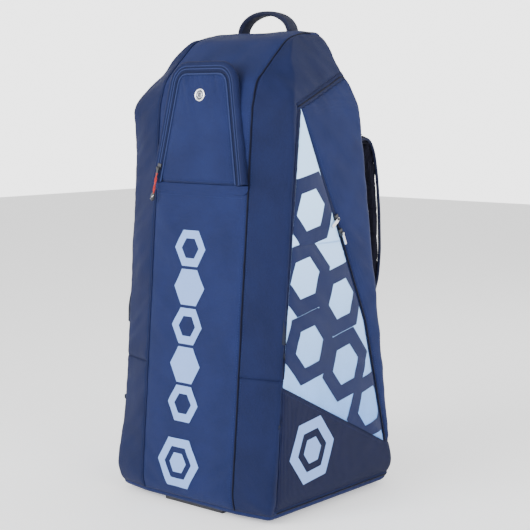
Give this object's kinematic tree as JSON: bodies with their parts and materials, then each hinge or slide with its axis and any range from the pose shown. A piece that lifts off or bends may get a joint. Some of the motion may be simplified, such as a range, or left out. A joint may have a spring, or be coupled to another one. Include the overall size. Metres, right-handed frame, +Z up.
{
  "type": "racket tournament bag",
  "caption": "Upright racket tournament bag: tapering body, hinged side compartments with zipped pockets, lidded top pocket, grab handle and shoulder straps.",
  "frame": {"origin": "on the floor, under the middle of the whole bag's extent", "axes": "+Z up, -Y front (spine panel), +X the bag's own left-hand side as seen from behind, right as seen from the front"},
  "size_m": [0.3542, 0.3646, 0.794],
  "materials": {
    "navy": "woven polyester, PU coated",
    "ribbed_navy": "ribbed knit-look polyester",
    "pale_blue": "smooth coated fabric",
    "dark_piping": "binding tape",
    "zip_tape": "woven zip tape with nylon coil",
    "lining": "thin lining",
    "webbing": "woven webbing",
    "mesh_pad": "quilted spacer mesh over foam",
    "hardware": "moulded acetal",
    "foot_rubber": "moulded rubber",
    "zip_metal": "die-cast, plated",
    "cord_red": "moulded cord"
  },
  "bodies": {
    "bag": {"spine_panel": "navy", "back_panel": "navy", "base_panel": "navy", "base_skid": "foot_rubber", "right_corner_panel": "navy", "left_corner_panel": "navy", "right_shoulder_panel": "navy", "left_shoulder_panel": "navy", "right_piping": "dark_piping", "left_piping": "dark_piping", "right_main_zip": "zip_tape", "left_main_zip": "zip_tape", "center_divider": "lining", "top_pocket_gusset": "navy", "top_pocket_zip": "zip_tape", "top_pocket_lining": "lining", "top_handle_tabs": "webbing", "strap_patches": "webbing", "strap_anchors": "hardware"},
    "top_pocket_lid": {"top_pocket_flap": "navy", "badge": "zip_metal"},
    "top_slider": {"top_slider": "zip_metal"},
    "top_pull": {"top_pull": "zip_metal", "top_pull_tab": "cord_red"},
    "top_handle": {"top_handle": "webbing"},
    "right_door": {"right_door_rim": "navy", "right_door_wall": "lining", "right_lower_panel": "ribbed_navy", "right_pocket_top": "pale_blue", "right_side_zip": "zip_tape", "right_rear_panel": "navy"},
    "right_pocket_flap": {"right_pocket_flap": "pale_blue"},
    "right_upper_slider": {"right_upper_slider": "zip_metal"},
    "right_upper_pull": {"right_upper_pull": "zip_metal"},
    "right_lower_slider": {"right_lower_slider": "zip_metal"},
    "right_lower_pull": {"right_lower_pull": "zip_metal"},
    "right_main_slider": {"right_main_slider": "zip_metal"},
    "right_main_pull": {"right_main_pull": "zip_metal", "right_main_tab": "cord_red"},
    "right_strap": {"right_strap_pad": "mesh_pad", "right_strap_webbing": "webbing", "right_strap_hardware": "hardware"},
    "left_door": {"left_door_rim": "navy", "left_door_wall": "lining", "left_lower_panel": "ribbed_navy", "left_pocket_top": "pale_blue", "left_side_zip": "zip_tape", "left_rear_panel": "navy"},
    "left_pocket_flap": {"left_pocket_flap": "pale_blue"},
    "left_upper_slider": {"left_upper_slider": "zip_metal"},
    "left_upper_pull": {"left_upper_pull": "zip_metal"},
    "left_lower_slider": {"left_lower_slider": "zip_metal"},
    "left_lower_pull": {"left_lower_pull": "zip_metal"},
    "left_main_slider": {"left_main_slider": "zip_metal"},
    "left_main_pull": {"left_main_pull": "zip_metal", "left_main_tab": "cord_red"},
    "left_strap": {"left_strap_pad": "mesh_pad", "left_strap_webbing": "webbing", "left_strap_hardware": "hardware"}
  },
  "joints": [
    {"name": "top_pocket_lid_hinge", "type": "hinge", "parent": "bag", "child": "top_pocket_lid", "pos_m": [0, -0.13484, 0.51905], "axis": [1, 0, 0], "range_deg": [0, 165]},
    {"name": "top_slider_run", "type": "slide", "parent": "bag", "child": "top_slider", "axis": [0.183, 0.0795, 0.9799], "range_m": [-0.012, 0.118]},
    {"name": "top_pull_swing", "type": "hinge", "parent": "top_slider", "child": "top_pull", "pos_m": [-0.0844, -0.13728, 0.54095], "axis": [-0.9831, 0.0148, 0.1824], "range_deg": [0, 150]},
    {"name": "handle_fold", "type": "hinge", "parent": "bag", "child": "top_handle", "pos_m": [0, 0.037, 0.773], "axis": [1, 0, 0], "range_deg": [-80, 80]},
    {"name": "right_door_hinge", "type": "hinge", "parent": "bag", "child": "right_door", "pos_m": [0.17, -0.12058, 0.3], "axis": [0, -0.0809, -0.9967], "range_deg": [0, 75]},
    {"name": "right_pocket_flap_hinge", "type": "hinge", "parent": "right_door", "child": "right_pocket_flap", "pos_m": [0.17, -0.126, 0.214], "axis": [0, -0.0988, -0.9951], "range_deg": [0, 25]},
    {"name": "right_upper_slider_run", "type": "slide", "parent": "right_door", "child": "right_upper_slider", "axis": [0, 0.4246, -0.9054], "range_m": [0, 0.013]},
    {"name": "right_upper_pull_swivel", "type": "hinge", "parent": "right_upper_slider", "child": "right_upper_pull", "pos_m": [0.1745, 0.00297, 0.46366], "axis": [1, 0, 0], "range_deg": [-60, 50]},
    {"name": "right_lower_slider_run", "type": "slide", "parent": "right_door", "child": "right_lower_slider", "axis": [0, 0.4246, -0.9054], "range_m": [0, 0.15]},
    {"name": "right_lower_pull_swing", "type": "hinge", "parent": "right_lower_slider", "child": "right_lower_pull", "pos_m": [0.1752, 0.01401, 0.44012], "axis": [0, -0.9054, -0.4246], "range_deg": [-8, 150]},
    {"name": "right_main_slider_run", "type": "slide", "parent": "bag", "child": "right_main_slider", "axis": [0, 0.1729, -0.9849], "range_m": [-0.045, 0.5]},
    {"name": "right_main_pull_swing", "type": "hinge", "parent": "right_main_slider", "child": "right_main_pull", "pos_m": [0.13509, 0.09001, 0.57885], "axis": [0.9161, -0.395, -0.0693], "range_deg": [0, 150]},
    {"name": "right_strap_swing", "type": "hinge", "parent": "bag", "child": "right_strap", "pos_m": [0.085, 0.13853, 0.34138], "axis": [0, -0.1729, 0.9849], "range_deg": [-40, 40]},
    {"name": "left_door_hinge", "type": "hinge", "parent": "bag", "child": "left_door", "pos_m": [-0.17, -0.12058, 0.3], "axis": [0, 0.0809, 0.9967], "range_deg": [0, 75]},
    {"name": "left_pocket_flap_hinge", "type": "hinge", "parent": "left_door", "child": "left_pocket_flap", "pos_m": [-0.17, -0.126, 0.214], "axis": [0, 0.0988, 0.9951], "range_deg": [0, 25]},
    {"name": "left_upper_slider_run", "type": "slide", "parent": "left_door", "child": "left_upper_slider", "axis": [0, 0.4246, -0.9054], "range_m": [0, 0.013]},
    {"name": "left_upper_pull_swivel", "type": "hinge", "parent": "left_upper_slider", "child": "left_upper_pull", "pos_m": [-0.1745, 0.00297, 0.46366], "axis": [1, 0, 0], "range_deg": [-60, 50]},
    {"name": "left_lower_slider_run", "type": "slide", "parent": "left_door", "child": "left_lower_slider", "axis": [0, 0.4246, -0.9054], "range_m": [0, 0.15]},
    {"name": "left_lower_pull_swing", "type": "hinge", "parent": "left_lower_slider", "child": "left_lower_pull", "pos_m": [-0.1752, 0.01401, 0.44012], "axis": [0, 0.9054, 0.4246], "range_deg": [-8, 150]},
    {"name": "left_main_slider_run", "type": "slide", "parent": "bag", "child": "left_main_slider", "axis": [0, 0.1729, -0.9849], "range_m": [-0.045, 0.5]},
    {"name": "left_main_pull_swing", "type": "hinge", "parent": "left_main_slider", "child": "left_main_pull", "pos_m": [-0.13509, 0.09001, 0.57885], "axis": [0.9161, 0.395, 0.0693], "range_deg": [0, 150]},
    {"name": "left_strap_swing", "type": "hinge", "parent": "bag", "child": "left_strap", "pos_m": [-0.085, 0.13853, 0.34138], "axis": [0, 0.1729, -0.9849], "range_deg": [-40, 40]}
  ]
}
